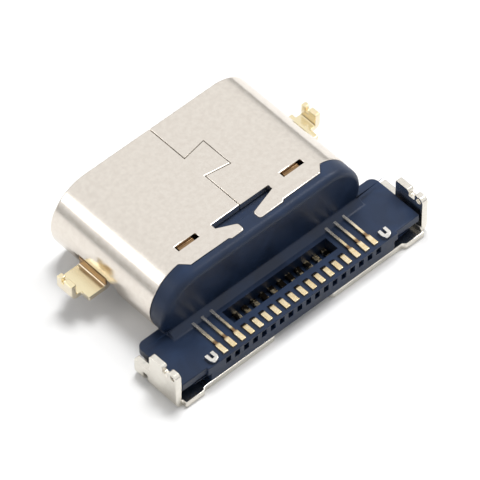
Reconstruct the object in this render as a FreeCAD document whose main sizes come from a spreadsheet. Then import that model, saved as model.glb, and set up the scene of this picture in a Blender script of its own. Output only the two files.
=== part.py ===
"""A phone charging port: the flat oval plug socket that is let into the edge of a phone's circuit board.

The plug enters along +Y through the mouth of a rolled steel shell. The shell ends in a moulded
insulator, whose ledge carries a comb of contact tails, and a stamped cover closes the back.
Lengths are in millimetres. The origin is the centre of the mouth, X runs across the port,
Y runs from the mouth to the back, and +Z is the side whose tails are soldered to the board.
"""
import FreeCAD, Part
import math
import os

import Sketcher

document = FreeCAD.newDocument("charging_port")

# Driving dimensions

SIZES = {
    "shell_width": 8.94,
    "shell_height": 3.16,
    "shell_wall": 0.30,
    "shell_length": 5.38,
    "mouth_round": 0.08,
    "shell_step_x": 2.90,
    "shell_step_run": 0.29,
    "shell_step": 0.41,
    "seam_gap": 0.025,
    "key_front": 1.78,
    "key_rear": 2.80,
    "key_reach": 1.00,
    "key_flare": 0.17,
    "notch_front": 4.50,
    "notch_half_width": 1.28,
    "notch_slot": 0.20,
    "notch_neck_y": 5.04,
    "notch_neck": 0.34,
    "notch_neck_shift": 0.24,
    "finger_half_width": 1.15,
    "finger_proud": 0.08,
    "finger_round": 0.12,
    "lance_inner": 1.90,
    "lance_outer": 2.82,
    "lance_y": 4.49,
    "lance_width": 0.22,
    "lance_drop": 0.15,
    "lance_pierce": 0.12,
    "window_inner": 2.34,
    "window_front": 1.20,
    "window_rear": 3.27,
    "window_round": 0.25,
    "window_side_z": -0.20,
    "ear_length": 1.32,
    "ear_inset": 0.06,
    "ear_root_round": 0.06,
    "ear_bend_round": 0.06,
    "ear_leg_rise": 0.50,
    "ear_y": 2.12,
    "ear_wall": 0.22,
    "ear_shoulder_inset": 0.44,
    "ear_leg_front": 1.66,
    "ear_leg_rear": 2.40,
    "ear_notch_front": 1.88,
    "ear_notch_width": 0.14,
    "ear_notch_depth": 0.20,
    "ear_leg_round": 0.05,
    "board_plane": -0.52,
    "cover_wall": 0.25,
    "cover_gap": 0.06,
    "cover_front": 4.49,
    "cover_neck_half": 2.80,
    "cover_slot": 0.33,
    "cover_slot_front": 4.35,
    "wing_front": 5.45,
    "wing_half_width": 5.70,
    "wing_bend_round": 0.30,
    "cover_rear": 7.68,
    "cover_notch_half": 1.10,
    "cover_notch": 0.26,
    "wing_tab_inner": 4.48,
    "wing_tab_rear": 7.79,
    "plate_front": 5.55,
    "plate_rear": 7.62,
    "prong_a_front": 6.28,
    "prong_a_rear": 6.93,
    "prong_b_front": 7.20,
    "prong_a_top": 0.02,
    "prong_b_top": 0.06,
    "prong_round": 0.10,
    "prong_heel_round": 0.20,
    "plate_shoulder": -0.78,
    "prong_gap_floor": -0.24,
    "pilot_hole": 0.20,
    "pilot_level": -0.14,
    "wing_slot_inner": 4.35,
    "wing_slot_front": 5.99,
    "wing_slot_width": 0.20,
    "wing_slot_pitch": 0.85,
    "weld_radius": 0.30,
    "weld_pitch": 1.80,
    "weld_depth": 0.14,
    "weld_dish": 0.03,
    "weld_dish_radius": 0.22,
    "tongue_tip": 0.45,
    "tongue_width": 6.69,
    "tongue_height": 0.70,
    "tongue_corner": 0.45,
    "latch_front": 1.60,
    "latch_rear": 3.00,
    "latch_half_width": 2.97,
    "root_front": 3.75,
    "root_rear": 5.08,
    "root_half_width": 3.55,
    "root_height": 1.24,
    "plate_wall": 0.15,
    "plate_side_inset": 0.13,
    "plate_latch_proud": 0.05,
    "arm_inner": 3.70,
    "arm_width": 0.42,
    "arm_bend_y": 5.53,
    "arm_floor": 0.23,
    "leg_y": 7.42,
    "leg_width": 0.38,
    "leg_wall": 0.14,
    "leg_top": -0.46,
    "leg_round": 0.17,
    "ground_wall": 0.10,
    "ground_half_width": 2.90,
    "ground_rear": 4.88,
    "ground_lip": 0.22,
    "plug_front": 4.23,
    "plug_gap": 0.02,
    "collar_rear": 5.72,
    "collar_inset": 0.02,
    "collar_round": 0.25,
    "plinth_rear": 6.01,
    "plinth_top": -0.40,
    "plinth_half_width": 4.30,
    "ledge_drop": 0.08,
    "ledge_wall": 0.35,
    "ledge_front": 5.26,
    "ledge_end_gap": 0.08,
    "ledge_corner": 0.30,
    "ledge_end_rear": 7.56,
    "ledge_mid_half": 4.30,
    "block_half_width": 4.15,
    "block_rear": 7.66,
    "recess_half_width": 2.35,
    "recess_front": 6.18,
    "recess_rear": 6.78,
    "comb_slot": 0.22,
    "comb_depth": 0.16,
    "contact_wall": 0.15,
    "contact_pitch": 0.50,
    "contact_width": 0.28,
    "ground_tip": 0.62,
    "power_tip": 0.72,
    "signal_tip": 1.00,
    "fan_front": 4.38,
    "fan_rear": 5.28,
    "fall_y": 5.53,
    "bend_round": 0.05,
    "low_run": 0.28,
    "rise_y": 6.96,
    "tail_pitch": 0.40,
    "tail_width": 0.20,
    "surface_width": 0.12,
    "pad_front": 7.08,
    "tail_rear": 7.54,
}

sheet = document.addObject("Spreadsheet::Sheet", "Sizes")
for row, (alias, number) in enumerate(SIZES.items(), start=1):
    sheet.set(f"A{row}", alias)
    sheet.set(f"B{row}", str(number))
    sheet.setAlias(f"B{row}", alias)
document.recompute()


class Size:
    """A length that knows its number now and the sheet expression that gives it."""

    def __init__(self, number, text):
        self.number = number
        self.text = text

    def __add__(self, other):
        other = as_size(other)
        return Size(self.number + other.number, f"({self.text} + {other.text})")

    def __sub__(self, other):
        other = as_size(other)
        return Size(self.number - other.number, f"({self.text} - {other.text})")

    def __mul__(self, other):
        other = as_size(other)
        return Size(self.number * other.number, f"({self.text} * {other.text})")

    def __neg__(self):
        return self * -1

    def __truediv__(self, other):
        other = as_size(other)
        return Size(self.number / other.number, f"({self.text} / {other.text})")

    def half(self):
        return self / 2


def as_size(thing):
    """Take a plain number for a Size that no cell drives."""
    if isinstance(thing, Size):
        return thing
    return Size(thing, f"({thing})")


def cell(alias):
    """The sheet's cell with that alias."""
    return Size(sheet.get(alias), f"Sizes.{alias}")


# Sketches: a profile is a list of corners, each (across, up) or (across, up, radius)

PLANES = {
    "XY": {"role": "XY_Plane", "normal": 1},
    "XZ": {"role": "XZ_Plane", "normal": -1},
    "YZ": {"role": "YZ_Plane", "normal": 1},
}
TURNS = {
    "XY": FreeCAD.Rotation(0, 0, 0),
    "YZ": FreeCAD.Rotation(FreeCAD.Vector(1, 1, 1), 120),
}
ORIGIN = -1
START, END, CENTRE = 1, 2, 3


def direction(corner, other):
    """The unit step from one corner to the next along a straight profile edge."""
    run = [(b - a).number for a, b in zip(corner[:2], other[:2])]
    length = math.hypot(*run)
    return [step / length for step in run]


def pin_point(sketch, geometry, end, point):
    """Hold one point of a sketch at the place that the sheet gives it."""
    for kind, place in zip(("DistanceX", "DistanceY"), point):
        held = sketch.addConstraint(Sketcher.Constraint(kind, ORIGIN, START, geometry, end, place.number))
        sketch.setExpression(f"Constraints[{held}]", place.text)


def draw_corner(sketch, corner, before, after):
    """Draw a rounded corner and return the profile points where it begins and ends, and its arc."""
    radius = corner[2]
    step_in = direction(before, corner)
    step_out = direction(corner, after)
    begin = [place - radius * step for place, step in zip(corner, step_in)]
    finish = [place + radius * step for place, step in zip(corner, step_out)]
    centre = [place + radius * step for place, step in zip(begin, step_out)]
    angles = []
    for point in (begin, finish):
        across, up = [(a - b).number for a, b in zip(point, centre)]
        angles.append(math.atan2(up, across))
    turns_left = step_in[0] * step_out[1] - step_in[1] * step_out[0] > 0
    if not turns_left:
        angles.reverse()
    if angles[1] < angles[0]:
        angles[1] += 2 * math.pi
    middle = FreeCAD.Vector(centre[0].number, centre[1].number, 0)
    circle = Part.Circle(middle, FreeCAD.Vector(0, 0, 1), radius.number)
    arc = sketch.addGeometry(Part.ArcOfCircle(circle, *angles), False)
    held = sketch.addConstraint(Sketcher.Constraint("Radius", arc, radius.number))
    sketch.setExpression(f"Constraints[{held}]", radius.text)
    ends = (START, END) if turns_left else (END, START)
    return {"begin": begin, "finish": finish, "arc": arc, "ends": ends}


def draw_profile(sketch, corners):
    """Draw one closed profile whose every point is held by the sheet."""
    corners = [[as_size(value) for value in corner] for corner in corners]
    count = len(corners)
    joints = []
    for index, corner in enumerate(corners):
        if len(corner) == 3:
            joints.append(draw_corner(sketch, corner, corners[index - 1], corners[(index + 1) % count]))
        else:
            joints.append({"begin": corner, "finish": corner, "arc": None, "ends": None})
    lines = []
    for index, joint in enumerate(joints):
        following = joints[(index + 1) % count]
        ends = [FreeCAD.Vector(p[0].number, p[1].number, 0) for p in (joint["finish"], following["begin"])]
        lines.append(sketch.addGeometry(Part.LineSegment(*ends), False))
    for index, joint in enumerate(joints):
        line = lines[index]
        incoming = lines[index - 1]
        pin_point(sketch, line, START, joint["finish"])
        if joint["arc"] is None:
            sketch.addConstraint(Sketcher.Constraint("Coincident", incoming, END, line, START))
        else:
            pin_point(sketch, incoming, END, joint["begin"])
            first, last = joint["ends"]
            sketch.addConstraint(Sketcher.Constraint("Coincident", incoming, END, joint["arc"], first))
            sketch.addConstraint(Sketcher.Constraint("Coincident", joint["arc"], last, line, START))


def box_corners(left, right, low, high):
    """The four corners of an upright rectangle."""
    return [(left, low), (right, low), (right, high), (left, high)]


def draw_obround(sketch, half_width, half_height):
    """Draw a flat oval: two straight long sides closed by half circles."""
    reach = half_width - half_height
    up = half_height
    right_circle = Part.Circle(FreeCAD.Vector(reach.number, 0, 0), FreeCAD.Vector(0, 0, 1), up.number)
    left_circle = Part.Circle(FreeCAD.Vector(-reach.number, 0, 0), FreeCAD.Vector(0, 0, 1), up.number)
    right = sketch.addGeometry(Part.ArcOfCircle(right_circle, -math.pi / 2, math.pi / 2), False)
    left = sketch.addGeometry(Part.ArcOfCircle(left_circle, math.pi / 2, 3 * math.pi / 2), False)
    corners = [
        (FreeCAD.Vector(reach.number, up.number, 0), FreeCAD.Vector(-reach.number, up.number, 0)),
        (FreeCAD.Vector(-reach.number, -up.number, 0), FreeCAD.Vector(reach.number, -up.number, 0)),
    ]
    top, bottom = [sketch.addGeometry(Part.LineSegment(*ends), False) for ends in corners]
    pin_point(sketch, top, START, (reach, up))
    pin_point(sketch, top, END, (-reach, up))
    pin_point(sketch, bottom, START, (-reach, -up))
    pin_point(sketch, bottom, END, (reach, -up))
    for arc, middle, before, after in ((right, reach, bottom, top), (left, -reach, top, bottom)):
        sketch.addConstraint(Sketcher.Constraint("Coincident", before, END, arc, START))
        sketch.addConstraint(Sketcher.Constraint("Coincident", arc, END, after, START))
        centred = Sketcher.Constraint("DistanceX", ORIGIN, START, arc, CENTRE, middle.number)
        held = sketch.addConstraint(centred)
        sketch.setExpression(f"Constraints[{held}]", middle.text)


def draw_circle(sketch, centre, radius):
    """Draw one circle held by the sheet."""
    middle = FreeCAD.Vector(centre[0].number, centre[1].number, 0)
    circle = sketch.addGeometry(Part.Circle(middle, FreeCAD.Vector(0, 0, 1), radius.number), False)
    pin_point(sketch, circle, CENTRE, centre)
    held = sketch.addConstraint(Sketcher.Constraint("Radius", circle, radius.number))
    sketch.setExpression(f"Constraints[{held}]", radius.text)


# Bodies: pads add and pockets cut between two levels along the axis that the sketch plane faces


def new_body(label):
    """An empty body with that label."""
    body = document.addObject("PartDesign::Body", label)
    body.Label = label
    return body


def body_sketch(body, name, plane, level, draw):
    """A sketch on one of the body's own origin planes, moved along its normal to a level."""
    sketch = body.newObject("Sketcher::SketchObject", name)
    role = PLANES[plane]["role"]
    sketch.AttachmentSupport = (next(f for f in body.Origin.OriginFeatures if f.Role == role), [""])
    sketch.MapMode = "FlatFace"
    shift = level * PLANES[plane]["normal"]
    sketch.AttachmentOffset = FreeCAD.Placement(FreeCAD.Vector(0, 0, shift.number), FreeCAD.Rotation())
    sketch.setExpression("AttachmentOffset.Base.z", shift.text)
    if callable(draw):
        draw(sketch)
    else:
        draw_profile(sketch, draw)
    return sketch


def pad(body, name, plane, draw, low, high):
    """Add the prism of a profile from the low to the high level."""
    level = low if PLANES[plane]["normal"] > 0 else high
    sketch = body_sketch(body, f"{name}_profile", plane, level, draw)
    feature = body.newObject("PartDesign::Pad", name)
    feature.Profile = sketch
    feature.setExpression("Length", (high - low).text)
    return feature


def pocket(body, name, plane, draw, low, high):
    """Cut the prism of a profile from the high down to the low level."""
    level = high if PLANES[plane]["normal"] > 0 else low
    sketch = body_sketch(body, f"{name}_profile", plane, level, draw)
    feature = body.newObject("PartDesign::Pocket", name)
    feature.Profile = sketch
    feature.setExpression("Length", (high - low).text)
    return feature


def fillet(body, name, radius, chosen):
    """Round the edges of the body's last feature whose ends all pass a test."""
    document.recompute()
    base = body.Tip
    names = []
    for index, edge in enumerate(base.Shape.Edges, start=1):
        if all(chosen(vertex.Point) for vertex in edge.Vertexes):
            names.append(f"Edge{index}")
    feature = body.newObject("PartDesign::Fillet", name)
    feature.Base = (base, names)
    feature.setExpression("Radius", radius.text)
    return feature


def near(value, size):
    """Whether a coordinate lies at a size, within a micrometre."""
    return abs(value - size.number) < 1e-3


def cut_from(label, base, tools):
    """The named piece that is left of a base when the pieces set into it are taken away."""
    tool = document.addObject("Part::Compound", f"{label}_taken")
    tool.Links = tools
    piece = document.addObject("Part::Cut", label)
    piece.Label = label
    piece.Base = base
    piece.Tool = tool
    return piece


def both_sides(right):
    """Close a profile that is the same left and right of its middle from its right-hand corners."""
    left = [(-as_size(corner[0]),) + tuple(corner[1:]) for corner in reversed(right)]
    return list(right) + left


pieces = {}

shell_half_width = cell("shell_width").half()
shell_half_height = cell("shell_height").half()
shell_wall = cell("shell_wall")
bore_half_width = shell_half_width - shell_wall
bore_half_height = shell_half_height - shell_wall
shell_corner_rear = cell("shell_length") - cell("shell_step")
cover_side = -shell_half_height
pad_side = shell_half_height
board_plane = cell("board_plane")
cover_inner = cover_side + cell("cover_wall")
ledge_top = board_plane - cell("ledge_drop")
ledge_under = ledge_top - cell("ledge_wall")
wing_end = cell("wing_half_width")
wing_face = wing_end - cell("cover_wall")
ear_reach = wing_end - cell("ear_inset")
ledge_half_width = wing_face - cell("ledge_end_gap")


# Weld nuggets: three laser spots across the butt joint of the shell and the cover, dished as they cool

joint_y = cell("cover_front") - cell("cover_gap").half()
dish_radius = cell("weld_dish_radius")
dish_depth = cell("weld_dish")
dish_curve = (dish_radius * dish_radius + dish_depth * dish_depth) / (dish_depth * 2)
for number, step in enumerate((-1, 0, 1), start=1):
    label = f"weld_nugget_{number}"
    spot = document.addObject("Part::Cylinder", f"{label}_spot")
    spot.setExpression("Radius", cell("weld_radius").text)
    spot.setExpression("Height", cell("weld_depth").text)
    dish = document.addObject("Part::Sphere", f"{label}_dish")
    dish.setExpression("Radius", dish_curve.text)
    for solid, level in ((spot, cover_side), (dish, cover_side - dish_curve + dish_depth)):
        solid.setExpression("Placement.Base.x", (cell("weld_pitch") * step).text)
        solid.setExpression("Placement.Base.y", joint_y.text)
        solid.setExpression("Placement.Base.z", level.text)
    pieces[label] = document.addObject("Part::Cut", label)
    pieces[label].Label = label
    pieces[label].Base = spot
    pieces[label].Tool = dish
weld_spots = [document.getObject(f"weld_nugget_{number}_spot") for number in (1, 2, 3)]


# Shell: one strip of steel rolled into a flat oval tube and keyed together along the pad side

def seam_ribbon():
    """The hairline left where the two ends of the strip meet, stepped round the key that locks them."""
    slack = cell("seam_gap").half()
    front = cell("key_front")
    rear = cell("key_rear")
    reach = cell("key_reach")
    flare = cell("key_flare")
    return [
        (slack, -slack), (slack, front + slack), (slack - reach, front - flare + slack),
        (slack - reach, rear + flare - slack), (slack, rear - slack),
        (slack, cell("notch_front") + slack), (-slack, cell("notch_front") + slack),
        (-slack, rear + slack), (-slack - reach, rear + flare + slack),
        (-slack - reach, front - flare - slack), (-slack, front - slack), (-slack, -slack),
    ]


def ear_profile(side, tip, with_leg):
    """Front view of an ear: out of the side wall, flat on the board, and up into a leg at its tip."""
    root = cell("ear_root_round")
    wall = cell("ear_wall")
    under = board_plane - wall
    inner = [
        (bore_half_width, cell("window_side_z")),
        (bore_half_width, under, root + wall),
    ]
    outer = [
        (shell_half_width, board_plane, root),
        (shell_half_width, cell("window_side_z")),
    ]
    if with_leg:
        bend = cell("ear_bend_round")
        end = [
            (tip, under, bend + wall),
            (tip, ear_leg_top),
            (tip - wall, ear_leg_top),
            (tip - wall, board_plane, bend),
        ]
    else:
        end = [(tip, under), (tip, board_plane)]
    return [(as_size(corner[0]) * side,) + tuple(corner[1:]) for corner in inner + end + outer]


shell = new_body("shell_strip")
pad(shell, "tube", "XZ", lambda sketch: draw_obround(sketch, shell_half_width, shell_half_height),
    as_size(0), cell("shell_length"))
fillet(shell, "mouth_rim", cell("mouth_round"), lambda point: near(point.y, as_size(0)))
pocket(shell, "bore", "XZ", lambda sketch: draw_obround(sketch, bore_half_width, bore_half_height),
       as_size(0), cell("shell_length"))
pocket(shell, "seam", "XY", seam_ribbon(), as_size(0), pad_side)
notch_half = cell("notch_half_width")
notch_rear = cell("notch_front") + cell("notch_slot")
neck_right = cell("notch_neck_shift") + cell("notch_neck")
neck_left = cell("notch_neck_shift") - cell("notch_neck")
pocket(shell, "notch", "XY", [
    (notch_half, cell("notch_front")), (notch_half, notch_rear),
    (neck_right, cell("notch_neck_y")), (neck_right, cell("shell_length")),
    (neck_left, cell("shell_length")), (neck_left, cell("notch_neck_y")),
    (-notch_half, notch_rear), (-notch_half, cell("notch_front")),
], as_size(0), pad_side)
for end, y in (("tip", cell("shell_length")), ("front", cell("notch_neck_y"))):
    fillet(shell, f"finger_{end}", cell("finger_round"),
           lambda point: near(point.y, y) and (near(point.x, neck_right) or near(point.x, neck_left)))
lance_front = cell("lance_y") - cell("lance_width").half()
lance_rear = cell("lance_y") + cell("lance_width").half()
lance_top = pad_side - cell("lance_drop")
step_x = cell("shell_step_x")
step_end = step_x + cell("shell_step_run")
finger_half = cell("finger_half_width")
edge_rear = cell("shell_length") - cell("finger_proud")
ear_half = cell("ear_length").half()
ear_shoulder = ear_reach - cell("ear_shoulder_inset")
ear_leg_top = board_plane + cell("ear_leg_rise")
lance_ends = {
    "inner": (cell("lance_inner"), cell("lance_inner") + cell("lance_pierce")),
    "outer": (cell("lance_outer") - cell("lance_pierce"), cell("lance_outer")),
}
for side, name in ((-1, "left"), (1, "right")):
    lance = box_corners(cell("lance_inner") * side, cell("lance_outer") * side, lance_front, lance_rear)
    pocket(shell, f"lance_dent_{name}", "XY", lance, lance_top, pad_side)
    pad(shell, f"lance_{name}", "XY", lance, lance_top - shell_wall, pad_side - shell_wall)
    for end, (near_x, far_x) in lance_ends.items():
        pocket(shell, f"lance_pierce_{name}_{end}", "XY", box_corners(
            near_x * side, far_x * side, lance_front, lance_rear), lance_top - shell_wall, lance_top)
    pocket(shell, f"rear_edge_{name}", "XY", [
        (finger_half * side, cell("shell_length")),
        ((finger_half + cell("finger_proud")) * side, edge_rear), (step_x * side, edge_rear),
        (step_end * side, shell_corner_rear), (shell_half_width * side, shell_corner_rear),
        (shell_half_width * side, cell("shell_length")),
    ], ledge_under, pad_side)
    pocket(shell, f"window_{name}", "XY", [
        (shell_half_width * side, cell("window_front")), (shell_half_width * side, cell("window_rear")),
        (cell("window_inner") * side, cell("window_rear"), cell("window_round")),
        (cell("window_inner") * side, cell("window_front"), cell("window_round")),
    ], cover_side, cell("window_side_z"))
    pad(shell, f"ear_{name}", "XZ", ear_profile(side, ear_shoulder, False),
        cell("ear_y") - ear_half, cell("ear_y") + ear_half)
    pad(shell, f"ear_leg_{name}", "XZ", ear_profile(side, ear_reach, True),
        cell("ear_leg_front"), cell("ear_leg_rear"))
    leg_face = (ear_reach - cell("ear_wall")) * side
    pocket(shell, f"ear_notch_{name}", "XY", box_corners(
        leg_face, ear_reach * side, cell("ear_notch_front"), cell("ear_notch_front") + cell("ear_notch_width")),
        ear_leg_top - cell("ear_notch_depth"), ear_leg_top)
fillet(shell, "ear_leg_ends", cell("ear_leg_round"),
       lambda point: near(point.z, ear_leg_top)
       and (near(point.y, cell("ear_leg_front")) or near(point.y, cell("ear_leg_rear"))))
neck_end = cell("cover_neck_half") + cell("cover_gap")
slot_end = neck_end + cell("cover_slot")
pocket(shell, "cover_gap", "XY", both_sides([
    (slot_end, cell("shell_length")), (slot_end, cell("cover_slot_front")),
    (neck_end, cell("cover_slot_front")), (neck_end, cell("cover_front") - cell("cover_gap")),
]), cover_side, as_size(0))
pieces["shell"] = cut_from("shell", shell, weld_spots)


# Rear cover: a stamped plate, butt welded to the shell, whose ends turn up as soldering legs

def cover_outline():
    """The blank of the cover seen from above: neck, wings, end tabs and the notch in its back edge."""
    neck = cell("cover_neck_half")
    wing = cell("wing_half_width")
    flat = wing - cell("wing_bend_round")
    notch = cell("cover_notch")
    tab = cell("wing_tab_inner")
    return both_sides([
        (neck, cell("cover_front")), (neck, cell("wing_front")), (flat, cell("wing_front")),
        (flat, cell("plate_front")), (wing, cell("plate_front")), (wing, cell("plate_rear")),
        (flat, cell("plate_rear")), (flat, cell("wing_tab_rear")),
        (tab + cell("wing_tab_rear") - cell("cover_rear"), cell("wing_tab_rear")), (tab, cell("cover_rear")),
        (cell("cover_notch_half") + notch, cell("cover_rear")),
        (cell("cover_notch_half"), cell("cover_rear") - notch),
    ])


def end_plate_outline():
    """Side view of an end plate: a low shoulder and two prongs that pass into the board."""
    return [
        (cell("plate_front"), cover_side), (cell("plate_rear"), cover_side),
        (cell("plate_rear"), cell("prong_b_top"), cell("prong_heel_round")),
        (cell("prong_b_front"), cell("prong_b_top"), cell("prong_round")),
        (cell("prong_b_front"), cell("prong_gap_floor")), (cell("prong_a_rear"), cell("prong_gap_floor")),
        (cell("prong_a_rear"), cell("prong_a_top"), cell("prong_round")),
        (cell("prong_a_front"), cell("prong_a_top"), cell("prong_round")),
        (cell("prong_a_front"), cell("plate_shoulder")), (cell("plate_front"), cell("plate_shoulder")),
    ]


cover = new_body("rear_cover_blank")
pad(cover, "plate", "XY", cover_outline(), cover_side, cover_inner)
plate_levels = {"left": (-wing_end, -wing_face), "right": (wing_face, wing_end)}
for name, levels in plate_levels.items():
    pad(cover, f"end_plate_{name}", "YZ", end_plate_outline(), *levels)
fillet(cover, "wing_bend", cell("wing_bend_round"),
       lambda point: near(abs(point.x), wing_end) and near(point.z, cover_side))
wing_slots = {
    "front": (cell("wing_slot_front"), wing_end, cover_inner + cell("cover_wall")),
    "rear": (cell("wing_slot_front") + cell("wing_slot_pitch"), wing_face, cover_inner),
}
pilot_place = ((cell("prong_b_front") + cell("plate_rear")).half(), cell("pilot_level"))
for side, name in ((-1, "left"), (1, "right")):
    for which, (front, reach, top) in wing_slots.items():
        pocket(cover, f"wing_slot_{name}_{which}", "XY", box_corners(
            cell("wing_slot_inner") * side, reach * side, front, front + cell("wing_slot_width")),
            cover_side, top)
    pocket(cover, f"pilot_{name}", "YZ",
           lambda sketch: draw_circle(sketch, pilot_place, cell("pilot_hole").half()), *plate_levels[name])
pieces["rear_cover"] = cut_from("rear_cover", cover, weld_spots)


# Contacts: two rows of twelve gilt strips, each bent down at the back and fanned in to the tail comb

ROW_SIZE = 12
TAIL_COUNT = 18
UPPER_TAILS = {0: 8.5, 1: 7.5, 2: 5.5, 3: 3.5, 4: 2.5, 5: 0.5}
LOWER_TAILS = {1: 6.5, 2: 4.5, 4: 1.5}
SURFACE_FROM = 6
GROUND, POWER = 0, 3


def prism(name, plane, corners, reach):
    """The solid of a profile, drawn out by the same reach on both sides of its plane."""
    sketch = document.addObject("Sketcher::SketchObject", f"{name}_profile")
    sketch.Placement = FreeCAD.Placement(FreeCAD.Vector(0, 0, 0), TURNS[plane])
    draw_profile(sketch, corners)
    solid = document.addObject("Part::Extrusion", name)
    solid.Base = sketch
    solid.DirMode = "Normal"
    solid.Solid = True
    solid.setExpression("LengthFwd", reach.text)
    solid.setExpression("LengthRev", reach.text)
    return solid


def folded_strip(runs, steps, rear):
    """Side view of a strip: the underside of each level run, and where it is folded to the next."""
    wall = cell("contact_wall")
    inner = cell("bend_round")
    outer = inner + wall
    under = [(cell("tongue_tip"), runs[0])]
    over = [(cell("tongue_tip"), runs[0] + wall)]
    for step, before, after in zip(steps, runs, runs[1:]):
        if after.number < before.number:
            under += [(step, before, inner), (step, after, outer)]
            over += [(step + wall, before + wall, outer), (step + wall, after + wall, inner)]
        else:
            under += [(step + wall, before, outer), (step + wall, after, inner)]
            over += [(step, before + wall, inner), (step, after + wall, outer)]
    under.append((rear, runs[-1]))
    over.append((rear, runs[-1] + wall))
    return under + over[::-1]


def plan_strip(stations):
    """Plan of a strip through stations that each give how far back, how far across and how wide."""
    left = [(across - width.half(), back) for back, across, width in stations]
    right = [(across + width.half(), back) for back, across, width in stations]
    return left + right[::-1]


upper_under = cell("tongue_height").half() - cell("contact_wall")
lower_under = -cell("tongue_height").half()
tail_under = board_plane - cell("contact_wall")
low_under = cover_inner + cell("low_run") - cell("contact_wall")
fall = cell("fall_y")
rise = cell("rise_y")
tail_rear = cell("tail_rear")
SIDE_VIEWS = {
    "upper_surface": folded_strip([upper_under, tail_under], [fall], tail_rear),
    "upper_buried": folded_strip([upper_under, low_under, tail_under], [fall, rise], tail_rear),
    "lower_surface": folded_strip([lower_under, tail_under], [fall], tail_rear),
    "lower_buried": folded_strip([lower_under, low_under, tail_under], [fall, rise], tail_rear),
    "lower_joined": folded_strip([lower_under], [], fall),
}


def contact_tip(place):
    """Ground and power strips reach further forward, so that they meet the plug first."""
    if place == GROUND:
        return cell("ground_tip")
    if place == POWER:
        return cell("power_tip")
    return cell("signal_tip")


def contact(row, index):
    """One contact strip, counted from the left of its row."""
    place = min(index, ROW_SIZE - 1 - index)
    side = -1 if index < ROW_SIZE / 2 else 1
    joined = row == "lower" and place not in LOWER_TAILS
    tails = LOWER_TAILS if row == "lower" and not joined else UPPER_TAILS
    kind = "surface" if tails[place] > SURFACE_FROM else "buried"
    tongue_x = cell("contact_pitch") * (index - (ROW_SIZE - 1) / 2)
    tail_x = cell("tail_pitch") * (tails[place] * side)
    run_width = cell("surface_width" if kind == "surface" and not joined else "tail_width")
    stations = [
        (contact_tip(place), tongue_x, cell("contact_width")),
        (cell("fan_front"), tongue_x, cell("contact_width")),
        (cell("fan_rear"), tail_x, run_width),
    ]
    if joined:
        kind = "joined"
        stations.append((fall, tail_x, cell("tail_width")))
    elif kind == "surface":
        stations += [
            (cell("pad_front"), tail_x, cell("surface_width")),
            (cell("pad_front"), tail_x, cell("tail_width")),
            (tail_rear, tail_x, cell("tail_width")),
        ]
    else:
        stations.append((tail_rear, tail_x, cell("tail_width")))
    label = f"{row}_contact_{index + 1:02d}"
    side_name = f"{row}_{kind}"
    strip = document.addObject("Part::Common", label)
    strip.Label = label
    strip.Base = prism(f"{label}_side", "YZ", SIDE_VIEWS[side_name], shell_half_width)
    strip.Tool = prism(f"{label}_plan", "XY", plan_strip(stations), shell_half_height)
    return strip


contacts = []
for row in ("upper", "lower"):
    for index in range(ROW_SIZE):
        strip = contact(row, index)
        pieces[strip.Label] = strip
        contacts.append(strip)


# Mid plate: a steel sheet between the two rows, notched for the plug's latches, with two soldered legs

def mid_plate_outline():
    """Plan of the sheet: the latch notches at its sides and two arms that run back past the contacts."""
    side_x = cell("tongue_width").half() - cell("plate_side_inset")
    notch_x = cell("latch_half_width") + cell("plate_latch_proud")
    arm_outer = cell("arm_inner") + cell("arm_width")
    arm_rear = cell("arm_bend_y") + cell("plate_wall")
    return both_sides([
        (side_x, cell("tongue_tip") + cell("plate_side_inset")), (side_x, cell("latch_front")),
        (notch_x, cell("latch_front")), (notch_x, cell("latch_rear")), (side_x, cell("latch_rear")),
        (side_x, cell("fan_front")), (arm_outer, cell("fan_front")), (arm_outer, arm_rear),
        (cell("arm_inner"), arm_rear), (cell("arm_inner"), cell("root_rear")),
    ])


mid_plate = new_body("mid_plate")
half_plate = cell("plate_wall").half()
pad(mid_plate, "sheet", "XY", mid_plate_outline(), -half_plate, half_plate)
arm_under = cover_inner + cell("arm_floor")
arm_middle = cell("arm_inner") + cell("arm_width").half()
leg_half = cell("leg_width").half()
leg_hollow = leg_half - cell("leg_wall")
for side, name in ((-1, "left"), (1, "right")):
    inner_x = cell("arm_inner") * side
    outer_x = (cell("arm_inner") + cell("arm_width")) * side
    pad(mid_plate, f"arm_drop_{name}", "XY", box_corners(
        inner_x, outer_x, cell("arm_bend_y"), cell("arm_bend_y") + cell("plate_wall")),
        arm_under, half_plate)
    pad(mid_plate, f"arm_run_{name}", "XY", box_corners(
        inner_x, outer_x, cell("arm_bend_y"), cell("leg_y") + leg_half),
        arm_under, arm_under + cell("plate_wall"))
    middle = arm_middle * side
    pad(mid_plate, f"leg_{name}", "XY", [
        (middle - leg_half, cell("leg_y") - leg_half), (middle + leg_half, cell("leg_y") - leg_half),
        (middle + leg_half, cell("leg_y") + leg_half, cell("leg_round")),
        (middle - leg_half, cell("leg_y") + leg_half, cell("leg_round")),
    ], arm_under, cell("leg_top"))
    pocket(mid_plate, f"leg_fold_{name}", "XY", box_corners(
        middle - leg_hollow, middle + leg_hollow, cell("leg_y") - leg_half, cell("leg_y") + leg_hollow),
        arm_under + cell("plate_wall"), cell("leg_top"))
pieces["mid_plate"] = mid_plate


# Ground shields: two folded strips over the thick root of the tongue, which meet the plug's shell

for label, side in (("upper_ground_shield", 1), ("lower_ground_shield", -1)):
    shield = new_body(label)
    seat = cell("root_height").half()
    face = seat + cell("ground_wall")
    front = cell("root_front") - cell("ground_wall")
    lip = seat - cell("ground_lip")
    pad(shield, f"{label}_fold", "YZ", [(back, as_size(up) * side) for back, up in (
        (front, lip), (cell("root_front"), lip), (cell("root_front"), seat), (cell("ground_rear"), seat),
        (cell("ground_rear"), face), (front, face),
    )], -cell("ground_half_width"), cell("ground_half_width"))
    pieces[label] = shield


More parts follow.
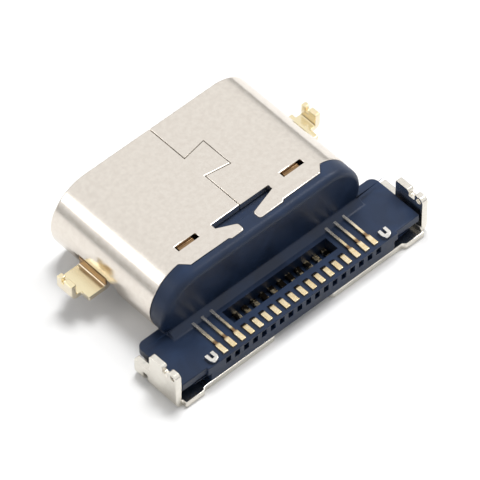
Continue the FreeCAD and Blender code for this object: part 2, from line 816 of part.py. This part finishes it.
# Tongue: the thin moulded blade that the plug slides over, with the contacts and mid plate moulded in

def tongue_outline():
    """Plan of the blade, with rounded front corners and a notch each side for the plug's latches."""
    side_x = cell("tongue_width").half()
    return both_sides([
        (side_x, cell("tongue_tip"), cell("tongue_corner")), (side_x, cell("latch_front")),
        (cell("latch_half_width"), cell("latch_front")), (cell("latch_half_width"), cell("latch_rear")),
        (side_x, cell("latch_rear")), (side_x, cell("root_rear")),
    ])


tongue = new_body("tongue_moulding")
tongue_half = cell("tongue_height").half()
root_half = cell("root_height").half()
pad(tongue, "blade", "XY", tongue_outline(), -tongue_half, tongue_half)
pad(tongue, "root", "XY", box_corners(
    -cell("root_half_width"), cell("root_half_width"), cell("root_front"), cell("root_rear")),
    -root_half, root_half)
pieces["tongue"] = cut_from("tongue", tongue, [mid_plate] + contacts)


# Housing: the dark insulator that plugs the shell from behind, with the ledge that carries the tails

def ledge_outline():
    """Plan of the ledge: its front corners are rounded and its ends stop short of its middle."""
    return both_sides([
        (ledge_half_width, cell("ledge_front"), cell("ledge_corner")),
        (ledge_half_width, cell("ledge_end_rear")),
        (cell("ledge_mid_half"), cell("ledge_end_rear")), (cell("ledge_mid_half"), cell("block_rear")),
    ])


def draw_comb(sketch):
    """A row of slots in the back edge of the ledge, one under each tail."""
    for step in range(TAIL_COUNT):
        middle = cell("tail_pitch") * (step - (TAIL_COUNT - 1) / 2)
        half = cell("comb_slot").half()
        draw_profile(sketch, box_corners(
            middle - half, middle + half, cell("block_rear") - cell("comb_depth"), cell("block_rear")))


housing = new_body("housing_moulding")
collar_half_width = shell_half_width - cell("collar_inset")
collar_half_height = shell_half_height - cell("collar_inset")
pad(housing, "collar", "XZ", lambda sketch: draw_obround(sketch, collar_half_width, collar_half_height),
    shell_corner_rear, cell("collar_rear"))
fillet(housing, "collar_edge", cell("collar_round"), lambda point: near(point.y, cell("collar_rear")))
plug_half_width = bore_half_width - cell("plug_gap")
plug_half_height = bore_half_height - cell("plug_gap")
pad(housing, "plug", "XZ", lambda sketch: draw_obround(sketch, plug_half_width, plug_half_height),
    cell("plug_front"), cell("shell_length"))
pad(housing, "ledge", "XY", ledge_outline(), ledge_under, ledge_top)
pad(housing, "plinth", "YZ", [
    (cell("wing_front"), ledge_under), (cell("plinth_rear"), ledge_under), (cell("plinth_rear"), ledge_top),
    (cell("collar_rear"), cell("plinth_top")), (cell("wing_front"), cell("plinth_top")),
], -cell("plinth_half_width"), cell("plinth_half_width"))
pad(housing, "block", "XY", box_corners(
    -cell("block_half_width"), cell("block_half_width"), cell("wing_front"), cell("block_rear")),
    cover_inner, ledge_top)
pad(housing, "neck_seat", "XY", box_corners(
    -cell("cover_neck_half"), cell("cover_neck_half"), cell("cover_front"), cell("wing_front")),
    cover_inner, ledge_under)
pocket(housing, "neck_clearance", "XY", box_corners(
    -slot_end, slot_end, cell("cover_front"), cell("wing_front")), cover_side, cover_inner)
pocket(housing, "cover_clearance", "XY", box_corners(
    -shell_half_width, shell_half_width, cell("shell_length"), cell("block_rear")), cover_side, cover_inner)
pocket(housing, "recess", "XY", box_corners(
    -cell("recess_half_width"), cell("recess_half_width"), cell("recess_front"), cell("recess_rear")),
    low_under, ledge_top)
pocket(housing, "comb", "XY", draw_comb, ledge_under, tail_under)
shields = [pieces["upper_ground_shield"], pieces["lower_ground_shield"]]
pieces["housing"] = cut_from("housing", housing, [shell, tongue, mid_plate] + shields + contacts)

document.recompute()

# Every object must have been rebuilt, every pad must add and every pocket cut, and every piece be sound

for thing in document.Objects:
    if "Invalid" in thing.State or "Error" in thing.State:
        raise RuntimeError(f"{thing.Label} failed: {thing.State}")
    if thing.TypeId in ("PartDesign::Pad", "PartDesign::Pocket") and thing.BaseFeature:
        grown = thing.Shape.Volume - thing.BaseFeature.Shape.Volume
        if grown * (1 if thing.TypeId == "PartDesign::Pad" else -1) <= 0:
            raise RuntimeError(f"{thing.Label} changes the volume by {grown:.4f} cubic millimetres")
for label, piece in pieces.items():
    shape = piece.Shape
    if shape.isNull() or not shape.isValid() or len(shape.Solids) != 1:
        raise RuntimeError(f"{label} is not one sound solid: {len(shape.Solids)} solids")

os.makedirs("parts", exist_ok=True)
for label, piece in pieces.items():
    piece.Shape.exportStep(f"parts/{label}.step")
    box = piece.Shape.BoundBox
    print(f"{label}: {piece.Shape.Volume:.4f} mm3, X {box.XMin:.2f}..{box.XMax:.2f}, "
          f"Y {box.YMin:.2f}..{box.YMax:.2f}, Z {box.ZMin:.2f}..{box.ZMax:.2f}")
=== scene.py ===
"""The looks of a phone charging port: a rolled steel socket on a dark insulator with a comb of gilt tails.

Everything is in metres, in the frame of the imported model: X runs across the port, Y from its mouth to its
back, and +Z is the side that is soldered to the board. The port lies on the flat of its cover side.
"""
import math

import bpy
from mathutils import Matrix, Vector


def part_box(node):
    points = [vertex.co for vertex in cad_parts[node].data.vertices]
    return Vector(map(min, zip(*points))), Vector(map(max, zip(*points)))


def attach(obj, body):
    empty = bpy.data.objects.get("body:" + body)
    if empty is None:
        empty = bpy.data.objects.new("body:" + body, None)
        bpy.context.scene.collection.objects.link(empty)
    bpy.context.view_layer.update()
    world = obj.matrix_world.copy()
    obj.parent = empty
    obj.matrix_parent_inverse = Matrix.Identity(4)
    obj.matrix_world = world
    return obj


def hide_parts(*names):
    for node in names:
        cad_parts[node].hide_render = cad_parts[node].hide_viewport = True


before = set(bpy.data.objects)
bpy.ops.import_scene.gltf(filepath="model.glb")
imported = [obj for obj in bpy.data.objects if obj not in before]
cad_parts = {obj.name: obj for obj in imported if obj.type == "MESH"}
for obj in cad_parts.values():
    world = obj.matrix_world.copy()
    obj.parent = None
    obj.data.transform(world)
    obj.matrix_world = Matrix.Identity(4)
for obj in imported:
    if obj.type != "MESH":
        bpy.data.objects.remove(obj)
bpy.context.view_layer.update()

MM = 0.001


def mm(*lengths):
    """Lengths given in millimetres, in metres."""
    return tuple(length * MM for length in lengths)


def grey(brightness):
    """A neutral colour of a given brightness."""
    return (brightness, brightness, brightness, 1)


def node(tree, kind, **values):
    """A new shader node with values on its input sockets, named with underscores for spaces."""
    made = tree.nodes.new(kind)
    for socket, value in values.items():
        made.inputs[socket.replace("_", " ")].default_value = value
    return made


def product(tree, *factors):
    """The product of several values."""
    so_far = factors[0]
    for factor in factors[1:]:
        both = node(tree, "ShaderNodeMath")
        both.operation = "MULTIPLY"
        tree.links.new(so_far, both.inputs[0])
        tree.links.new(factor, both.inputs[1])
        so_far = both.outputs[0]
    return so_far


def mask(tree, source, limits, soft=0.03 * MM):
    """1 between two limits of a value and 0 outside them, with soft ends."""
    low, high = limits
    rises = node(tree, "ShaderNodeMapRange", From_Min=low - soft, From_Max=low + soft)
    falls = node(tree, "ShaderNodeMapRange", From_Min=high + soft, From_Max=high - soft)
    tree.links.new(source, rises.inputs["Value"])
    tree.links.new(source, falls.inputs["Value"])
    return product(tree, rises.outputs["Result"], falls.outputs["Result"])


def tint(tree, plain, colour, masks):
    """The plain colour, changed to another where every mask is 1."""
    mix = node(tree, "ShaderNodeMix")
    mix.data_type = "RGBA"
    mix.inputs["B"].default_value = colour
    tree.links.new(product(tree, *masks), mix.inputs["Factor"])
    tree.links.new(plain, mix.inputs[6])
    return mix.outputs[2]


def stretched(tree, place, factors):
    """A place with each of its coordinates multiplied by a factor of its own."""
    times = node(tree, "ShaderNodeVectorMath")
    times.operation = "MULTIPLY"
    times.inputs[1].default_value = factors
    tree.links.new(place, times.inputs[0])
    return times.outputs[0]


def two_tones(tree, value, low, shade, high, light):
    """A shade below the low value, a lighter colour above the high one, and a blend between them."""
    tone = node(tree, "ShaderNodeValToRGB")
    dark_stop, light_stop = tone.color_ramp.elements
    dark_stop.position, dark_stop.color = low, (*shade, 1)
    light_stop.position, light_stop.color = high, (*light, 1)
    tree.links.new(value, tone.inputs["Fac"])
    return tone.outputs["Color"]


def varied(tree, value, least, most):
    """A value that wavers around 0.5, brought to lie between two others."""
    sheen = node(tree, "ShaderNodeMapRange", From_Min=0.3, From_Max=0.7, To_Min=least, To_Max=most)
    tree.links.new(value, sheen.inputs["Value"])
    return sheen.outputs["Result"]


def new_material(name):
    """A new material, with its node tree and its shader."""
    material = bpy.data.materials.new(name)
    material.use_nodes = True
    return material, material.node_tree, material.node_tree.nodes["Principled BSDF"]


def own_place(tree):
    """The place on the piece itself that is being shaded."""
    return node(tree, "ShaderNodeTexCoord").outputs["Object"]


# The studio: a pale table top, a long lens that looks down over the port's near back corner, and three
# soft lamps: one on its far side and one along its near side that show in the steel, and one high
# above that only shapes the shadow under it.
LENS_SIDE = math.radians(47.4)
LENS_HEIGHT = math.radians(50.6)
LENS_DISTANCE = 200 * MM
FOCAL_LENGTH = 450
SENSOR_WIDTH = 36
NEAREST_SEEN = 10 * MM
FARTHEST_SEEN = 5
LOOK_AT = Vector((0, 4.51, -0.26)) * MM
TABLE_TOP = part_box("rear_cover")[0].z

towards_lens = Vector((
    math.cos(LENS_HEIGHT) * math.cos(LENS_SIDE),
    math.cos(LENS_HEIGHT) * math.sin(LENS_SIDE),
    math.sin(LENS_HEIGHT),
))
bpy.ops.object.camera_add(location=LOOK_AT + towards_lens * LENS_DISTANCE)
camera = bpy.context.object
camera.rotation_euler = towards_lens.to_track_quat("Z", "Y").to_euler()
camera.data.lens = FOCAL_LENGTH
camera.data.sensor_width = SENSOR_WIDTH
camera.data.clip_start = NEAREST_SEEN
camera.data.clip_end = FARTHEST_SEEN
bpy.context.scene.camera = camera

LAMPS = {
    "far lamp": {"from": (-140, 5, 160), "size": 80, "watts": 0.15, "mirrored": True},
    "near lamp": {"from": (130, -110, 110), "size": 60, "watts": 0.03, "mirrored": True},
    "high lamp": {"from": (-55, -45, 195), "size": 80, "watts": 0.33, "mirrored": False},
}
for name, lamp in LAMPS.items():
    place = Vector(lamp["from"]) * MM
    bpy.ops.object.light_add(type="AREA", location=place)
    light = bpy.context.object
    light.name = name
    light.rotation_euler = (place - LOOK_AT).to_track_quat("Z", "Y").to_euler()
    light.data.size = lamp["size"] * MM
    light.data.energy = lamp["watts"]
    light.visible_glossy = lamp["mirrored"]

# The room around is white where it is seen straight. In a reflection its brightness grows from the
# horizon up to the ceiling, as pairs of a height and a brightness, and all else gets an even light.
ROOM = ((0.02, 0.50), (0.16, 0.55), (0.34, 0.95), (0.70, 1.0))
EVEN_LIGHT = 0.40
SEEN_STRAIGHT = 1.0
world = bpy.context.scene.world or bpy.data.worlds.new("studio")
bpy.context.scene.world = world
world.use_nodes = True
sky = world.node_tree
sky.nodes.clear()
seen = node(sky, "ShaderNodeLightPath")
towards = node(sky, "ShaderNodeTexCoord")
towards_parts = node(sky, "ShaderNodeSeparateXYZ")
room = node(sky, "ShaderNodeValToRGB")
room_stops = room.color_ramp.elements
for height, brightness in ROOM:
    room_stops.new(height).color = grey(brightness)
room_stops[0].color = grey(ROOM[0][1])
room_stops[-1].color = grey(ROOM[-1][1])
lighting = node(sky, "ShaderNodeMix", A=EVEN_LIGHT)
straight = node(sky, "ShaderNodeMath")
straight.operation = "MAXIMUM"
level = node(sky, "ShaderNodeMix", B=SEEN_STRAIGHT)
background = node(sky, "ShaderNodeBackground", Color=grey(1))
sky_output = node(sky, "ShaderNodeOutputWorld")
sky.links.new(towards.outputs["Generated"], towards_parts.inputs[0])
sky.links.new(towards_parts.outputs["Z"], room.inputs["Fac"])
sky.links.new(seen.outputs["Is Glossy Ray"], lighting.inputs["Factor"])
sky.links.new(room.outputs["Color"], lighting.inputs["B"])
sky.links.new(seen.outputs["Is Camera Ray"], straight.inputs[0])
sky.links.new(seen.outputs["Is Transmission Ray"], straight.inputs[1])
sky.links.new(straight.outputs[0], level.inputs["Factor"])
sky.links.new(lighting.outputs["Result"], level.inputs["A"])
sky.links.new(level.outputs["Result"], background.inputs["Strength"])
sky.links.new(background.outputs[0], sky_output.inputs["Surface"])

TABLE_SIZE = 3
TABLE_WHITE = 0.86
TABLE_GLOW = 0.05
bpy.ops.mesh.primitive_plane_add(size=TABLE_SIZE, location=(0, 0, TABLE_TOP))
table = bpy.context.object
table.name = "table"
table_paint, paint, paint_shader = new_material("white table")
paint_shader.inputs["Base Color"].default_value = grey(TABLE_WHITE)
paint_shader.inputs["Roughness"].default_value = 0.6
paint_shader.inputs["Specular IOR Level"].default_value = 0.2
paint_shader.inputs["Emission Color"].default_value = grey(1)
table_seen = node(paint, "ShaderNodeLightPath")
table_glow = node(paint, "ShaderNodeMath")
table_glow.operation = "MULTIPLY"
table_glow.inputs[1].default_value = TABLE_GLOW
paint.links.new(table_seen.outputs["Is Camera Ray"], table_glow.inputs[0])
paint.links.new(table_glow.outputs[0], paint_shader.inputs["Emission Strength"])
table.data.materials.append(table_paint)
bpy.context.scene.view_settings.view_transform = "Standard"


# The shell is one strip of nickel plated steel, rolled to a flat oval and locked by a dovetail key.
# Its sheared edges are slightly rounded, the rolling leaves a faint grain, its two ears are gilt on the
# side that is soldered to the board, and painted brown shade darkens the roots of the ears and the floors
# of its two small dents.
SHEARED_EDGE = 0.03 * MM
SHEET_GRAIN = 14.0
SHEET_MOTTLE = 5.0
ROLLING_DRAW = 0.12

# Spans reach out from the port's middle, rows run back from its mouth, and levels rise from its middle.
EAR_SPAN = mm(4.5, 6)
# The ear root box, given next, is where a band of painted brown shade lies along each ear where it leaves
# the wall.
EAR_ROOT_SHADE_SPAN = mm(4.40, 4.56)
EAR_ROOT_SHADE_ROW = mm(1.40, 2.84)
EAR_ROOT_SHADE_LEVEL = mm(-0.50, -0.10)
# The dent box, given next, is where painted brown shade lies on the floors of the two dents.
DENT_SHADE_SPAN = mm(1.80, 2.92)
DENT_SHADE_ROW = mm(4.34, 4.64)
DENT_SHADE_LEVEL = mm(0, 1.50)

FACES_UP = (0, 2)
EAR_GILT = (0.90, 0.79, 0.53, 1)
# A brown that is painted as shade at the ear roots and on the dent floors, and is also used at the pads'
# front ends.
SHADE_AND_PAD_END_BROWN = (0.30, 0.19, 0.10, 1)
SAME_CORNER = 0.001 * MM
FLAT_WITHIN = math.radians(0.5)
SMOOTH_UNDER = math.radians(32)


def inside(point, box):
    """Whether a point lies in a box that is given by its low and its high corner."""
    return all(low <= place <= high for low, place, high in zip(box[0], point, box[1]))


def softened_piece(cad_name, piece_name, edge, steps=3, left_sharp=None):
    """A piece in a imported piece's exact shape whose sharp edges are rounded by a small radius.

    Edges inside the box left_sharp stay sharp.
    """
    piece = bpy.data.objects.new(piece_name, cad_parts[cad_name].data.copy())
    bpy.context.scene.collection.objects.link(piece)
    bpy.ops.object.select_all(action="DESELECT")
    piece.select_set(True)
    bpy.context.view_layer.objects.active = piece
    bpy.ops.mesh.customdata_custom_splitnormals_clear()
    bpy.ops.object.mode_set(mode="EDIT")
    bpy.ops.mesh.select_all(action="SELECT")
    bpy.ops.mesh.remove_doubles(threshold=SAME_CORNER)
    bpy.ops.mesh.dissolve_limited(angle_limit=FLAT_WITHIN)
    bpy.ops.object.mode_set(mode="OBJECT")
    bpy.ops.object.shade_smooth_by_angle(angle=SMOOTH_UNDER)
    mesh = piece.data
    weights = mesh.attributes.new("bevel_weight_edge", "FLOAT", "EDGE")
    for line, sharp, weight in zip(mesh.edges, mesh.attributes["sharp_edge"].data, weights.data):
        kept = left_sharp and all(inside(mesh.vertices[index].co, left_sharp) for index in line.vertices)
        weight.value = 1.0 if sharp.value and not kept else 0.0
    rounding = piece.modifiers.new("rounded edges", "BEVEL")
    rounding.width = edge
    rounding.segments = steps
    rounding.limit_method = "WEIGHT"
    rounding.use_clamp_overlap = False
    flat_faces = piece.modifiers.new("flat faces stay flat", "WEIGHTED_NORMAL")
    flat_faces.weight = 100
    flat_faces.keep_sharp = True
    for modifier in (rounding, flat_faces):
        bpy.ops.object.modifier_apply(modifier=modifier.name)
    piece.data.materials.clear()
    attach(piece, "root")
    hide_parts(cad_name)
    return piece


def build_rolled_grain():
    """The faint streaks and cloudy mottling that rolling and plating leave on sheet steel."""
    group = bpy.data.node_groups.new("rolled grain", "ShaderNodeTree")
    socket = group.interface.new_socket
    socket("Place", in_out="INPUT", socket_type="NodeSocketVector")
    socket("Grain", in_out="INPUT", socket_type="NodeSocketFloat")
    socket("Mottle", in_out="INPUT", socket_type="NodeSocketFloat")
    socket("Streaks", in_out="OUTPUT", socket_type="NodeSocketFloat")
    socket("Clouds", in_out="OUTPUT", socket_type="NodeSocketFloat")
    start = node(group, "NodeGroupInput")
    end = node(group, "NodeGroupOutput")
    in_mm = stretched(group, start.outputs["Place"], (1 / MM, 1 / MM, 1 / MM))
    drawn_out = stretched(group, in_mm, (1.0, ROLLING_DRAW, 1.0))
    streaks = node(group, "ShaderNodeTexNoise", Detail=3.0, Roughness=0.6)
    clouds = node(group, "ShaderNodeTexNoise", Detail=4.0, Roughness=0.65)
    group.links.new(drawn_out, streaks.inputs["Vector"])
    group.links.new(in_mm, clouds.inputs["Vector"])
    group.links.new(start.outputs["Grain"], streaks.inputs["Scale"])
    group.links.new(start.outputs["Mottle"], clouds.inputs["Scale"])
    group.links.new(streaks.outputs[0], end.inputs["Streaks"])
    group.links.new(clouds.outputs[0], end.inputs["Clouds"])
    return group


rolled_grain = build_rolled_grain()


def plated_steel(name, light, shade, polish):
    """Nickel plated sheet steel with a rolled grain and slightly uneven colour and polish."""
    material, tree, shader = new_material(name)
    shader.inputs["Metallic"].default_value = 1.0
    grain = node(tree, "ShaderNodeGroup")
    grain.node_tree = rolled_grain
    grain.inputs["Grain"].default_value = SHEET_GRAIN
    grain.inputs["Mottle"].default_value = SHEET_MOTTLE
    tree.links.new(own_place(tree), grain.inputs["Place"])
    tone = two_tones(tree, grain.outputs["Clouds"], 0.36, shade, 0.62, light)
    tree.links.new(tone, shader.inputs["Base Color"])
    sheen = varied(tree, grain.outputs["Streaks"], polish - 0.03, polish + 0.04)
    tree.links.new(sheen, shader.inputs["Roughness"])
    relief = node(tree, "ShaderNodeBump", Strength=0.05, Distance=0.004 * MM)
    tree.links.new(grain.outputs["Streaks"], relief.inputs["Height"])
    tree.links.new(relief.outputs["Normal"], shader.inputs["Normal"])
    return material


def gilt_the_ears(material):
    """Gold flash on the side of the ears that meets the board, and painted brown shade at the ear roots and
    on the dent floors.
    """
    tree = material.node_tree
    colour = tree.nodes["Principled BSDF"].inputs["Base Color"]
    parts = node(tree, "ShaderNodeSeparateXYZ")
    outward = node(tree, "ShaderNodeMath")
    outward.operation = "ABSOLUTE"
    facing = node(tree, "ShaderNodeNewGeometry")
    facing_parts = node(tree, "ShaderNodeSeparateXYZ")
    tree.links.new(own_place(tree), parts.inputs[0])
    tree.links.new(parts.outputs["X"], outward.inputs[0])
    tree.links.new(facing.outputs["Normal"], facing_parts.inputs[0])
    gilt = tint(tree, colour.links[0].from_socket, EAR_GILT, [
        mask(tree, outward.outputs[0], EAR_SPAN),
        mask(tree, facing_parts.outputs["Z"], FACES_UP, soft=0.3),
    ])
    # Painted brown shade along the root of each ear, where it meets the wall.
    painted_root_shade = tint(tree, gilt, SHADE_AND_PAD_END_BROWN, [
        mask(tree, outward.outputs[0], EAR_ROOT_SHADE_SPAN, soft=0.01 * MM),
        mask(tree, parts.outputs["Z"], EAR_ROOT_SHADE_LEVEL, soft=0.02 * MM),
        mask(tree, parts.outputs["Y"], EAR_ROOT_SHADE_ROW, soft=0.02 * MM),
    ])
    # Painted brown shade on the floors of the two small dents.
    painted_dent_shade = tint(tree, painted_root_shade, SHADE_AND_PAD_END_BROWN, [
        mask(tree, outward.outputs[0], DENT_SHADE_SPAN),
        mask(tree, parts.outputs["Y"], DENT_SHADE_ROW),
        mask(tree, parts.outputs["Z"], DENT_SHADE_LEVEL),
    ])
    tree.links.new(painted_dent_shade, colour)


shell = softened_piece("shell", "rolled_shell", SHEARED_EDGE)
shell_steel = plated_steel("shell steel", (0.80, 0.745, 0.675), (0.75, 0.69, 0.62), 0.19)
gilt_the_ears(shell_steel)
shell.data.materials.append(shell_steel)


# The rear cover is stamped from a flat sheet, its two ends turned up as pronged legs, and it is
# laser welded to the shell along a butt joint.
cover = softened_piece("rear_cover", "stamped_cover", SHEARED_EDGE)
cover_steel = plated_steel("cover steel", (0.80, 0.77, 0.70), (0.75, 0.71, 0.64), 0.20)
cover.data.materials.append(cover_steel)


# The weld nuggets are small discs of steel that was melted by a laser and dished as it cooled.
NUGGETS = [name for name in sorted(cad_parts) if name.startswith("weld_nugget")]
weld_metal = plated_steel("weld metal", (0.72, 0.66, 0.58), (0.55, 0.47, 0.38), 0.22)
for name in NUGGETS:
    nugget = softened_piece(name, f"dished_{name}", SHEARED_EDGE / 2)
    nugget.data.materials.append(weld_metal)


# The housing and the tongue are moulded from a blue-black engineering plastic with a fine matt
# texture from the mould. The strip of wall over the comb of slots is too thin to soften, so the edges
# there and around the recess stay sharp.
MOULDED_EDGE = 0.04 * MM
COMB = (mm(-3.8, 5.2, -1.30), mm(3.8, 7.70, -0.30))


def moulded_plastic(name, light, shade, polish):
    """Blue-black moulded plastic with a fine texture and slightly uneven colour."""
    material, tree, shader = new_material(name)
    shader.inputs["IOR"].default_value = 1.58
    shader.inputs["Specular IOR Level"].default_value = 0.30
    place = own_place(tree)
    grit = node(tree, "ShaderNodeTexNoise", Scale=22000.0, Detail=2.0)
    flow = node(tree, "ShaderNodeTexNoise", Scale=900.0, Detail=4.0, Distortion=0.6)
    for texture in (grit, flow):
        tree.links.new(place, texture.inputs["Vector"])
    tone = two_tones(tree, flow.outputs[0], 0.35, shade, 0.68, light)
    tree.links.new(tone, shader.inputs["Base Color"])
    sheen = varied(tree, flow.outputs[0], polish - 0.06, polish + 0.08)
    tree.links.new(sheen, shader.inputs["Roughness"])
    relief = node(tree, "ShaderNodeBump", Strength=0.18, Distance=0.006 * MM)
    tree.links.new(grit.outputs[0], relief.inputs["Height"])
    tree.links.new(relief.outputs["Normal"], shader.inputs["Normal"])
    return material


insulator = moulded_plastic("blue-black insulator", (0.009, 0.023, 0.060), (0.005, 0.014, 0.038), 0.42)
housing = softened_piece("housing", "moulded_housing", MOULDED_EDGE, left_sharp=COMB)
housing.data.materials.append(insulator)
tongue = softened_piece("tongue", "moulded_tongue", MOULDED_EDGE / 2)
tongue.data.materials.append(insulator)


# The mid plate and the two ground shields are bright stamped steel, moulded into the tongue or
# folded over its root.
inner_steel = plated_steel("bright inner steel", (0.80, 0.78, 0.74), (0.70, 0.68, 0.64), 0.24)
for name in ("mid_plate", "upper_ground_shield", "lower_ground_shield"):
    piece = softened_piece(name, f"stamped_{name}", SHEARED_EDGE / 2)
    piece.data.materials.append(inner_steel)


# The contacts are strips of gold plated copper alloy. The plating is thin on the runs that lie on the
# ledge, which look silvery near the collar, and full on the pads. The pads' front ends are painted brown,
# and down in the recess painted shade turns the strips near black apart from sparse spots left gold as
# painted glints.
CONTACT_EDGE = 0.015 * MM
SILVERY_ROW = mm(5.2, 6.3)
PAD_FRONT_ROW = mm(6.92, 7.12)
RECESS_ROW = mm(5.9, 7.0)
LEDGE_LEVEL = mm(-0.72, 0)
RECESS_LEVEL = mm(-2, -0.72)
SILVERY = (0.90, 0.88, 0.85, 1)
# A near black that is painted as shade on the strips down in the recess.
RECESS_SHADE = (0.030, 0.024, 0.018, 1)


def gilt_strip():
    """Gold plate over copper alloy, silvery along the runs on the ledge, brown at the pads' front ends, and
    near black from painted shade in the recess apart from sparse painted gold glints.
    """
    material = plated_steel("contact gilt", (0.93, 0.79, 0.54), (0.84, 0.66, 0.38), 0.24)
    tree = material.node_tree
    colour = tree.nodes["Principled BSDF"].inputs["Base Color"]
    place = own_place(tree)
    parts = node(tree, "ShaderNodeSeparateXYZ")
    glints = node(tree, "ShaderNodeTexNoise", Scale=5200.0, Detail=2.0)
    # Where this noise is low the recess shade is painted; where it is high the gold stays, as sparse
    # painted glints.
    shade_between_glints = node(tree, "ShaderNodeMapRange", From_Min=0.60, From_Max=0.50)
    tree.links.new(place, parts.inputs[0])
    tree.links.new(place, glints.inputs["Vector"])
    tree.links.new(glints.outputs[0], shade_between_glints.inputs["Value"])
    on_ledge = mask(tree, parts.outputs["Z"], LEDGE_LEVEL, soft=0.02 * MM)
    silvery = tint(tree, colour.links[0].from_socket, SILVERY, [
        on_ledge,
        mask(tree, parts.outputs["Y"], SILVERY_ROW, soft=0.5 * MM),
    ])
    # The front ends of the pads, where the strips rise out of the recess, are painted brown.
    brown_pad_fronts = tint(tree, silvery, SHADE_AND_PAD_END_BROWN, [
        on_ledge,
        mask(tree, parts.outputs["Y"], PAD_FRONT_ROW, soft=0.05 * MM),
    ])
    # Painted shade turns the strips in the recess near black, apart from sparse gold spots left as painted
    # glints.
    painted_recess_shade = tint(tree, brown_pad_fronts, RECESS_SHADE, [
        mask(tree, parts.outputs["Z"], RECESS_LEVEL, soft=0.02 * MM),
        mask(tree, parts.outputs["Y"], RECESS_ROW),
        shade_between_glints.outputs["Result"],
    ])
    tree.links.new(painted_recess_shade, colour)
    return material


contact_gilt = gilt_strip()
for name in sorted(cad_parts):
    if "_contact_" in name:
        strip = softened_piece(name, f"gilt_{name}", CONTACT_EDGE, steps=2)
        strip.data.materials.append(contact_gilt)
